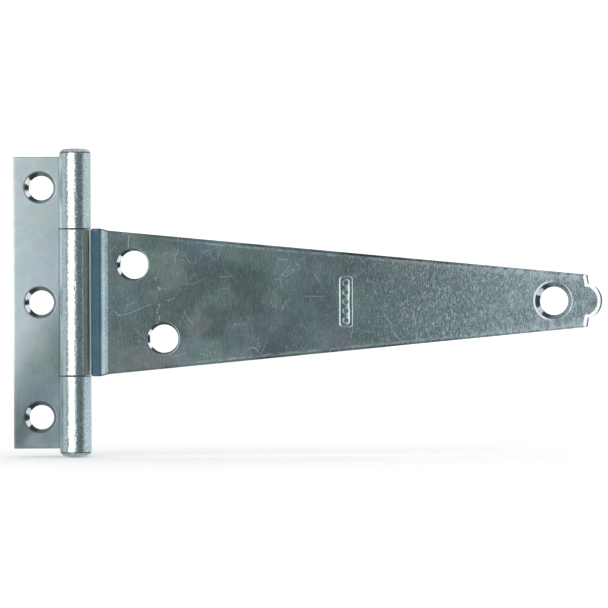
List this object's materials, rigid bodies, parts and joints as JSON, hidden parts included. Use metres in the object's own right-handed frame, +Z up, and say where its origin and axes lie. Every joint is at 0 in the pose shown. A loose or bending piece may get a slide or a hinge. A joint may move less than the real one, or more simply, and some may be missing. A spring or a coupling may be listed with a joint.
{
  "type": "t hinge",
  "caption": "Zinc-plated steel T hinge with a short rectangular leaf, a long tapered strap and a captive pin, for hanging a gate, shed door or lid.",
  "frame": {"origin": "centre of the fixed leaf's middle screw hole, on the plane of the leaf's back", "axes": "+X from the fixed leaf along the strap, +Y out of the leaf's back into what it is screwed to, +Z up along the pin; the barrel faces -Y"},
  "size_m": [0.1702, 0.009, 0.0884],
  "materials": {
    "plated_leaf": "bright zinc plate over stamped steel, satin",
    "plated_strap": "bright zinc plate over stamped steel, satin, handled",
    "plated_pin": "bright zinc plate over cold-headed steel"
  },
  "bodies": {
    "leaf": {"fixed_leaf": "plated_leaf", "hinge_pin": "plated_pin"},
    "strap": {"strap_leaf": "plated_strap"}
  },
  "joints": [
    {"name": "strap_swing", "type": "hinge", "parent": "leaf", "child": "strap", "pos_m": [0.0098, -0.0045, 0], "axis": [0, 0, -1], "range_deg": [-85, 190]}
  ]
}
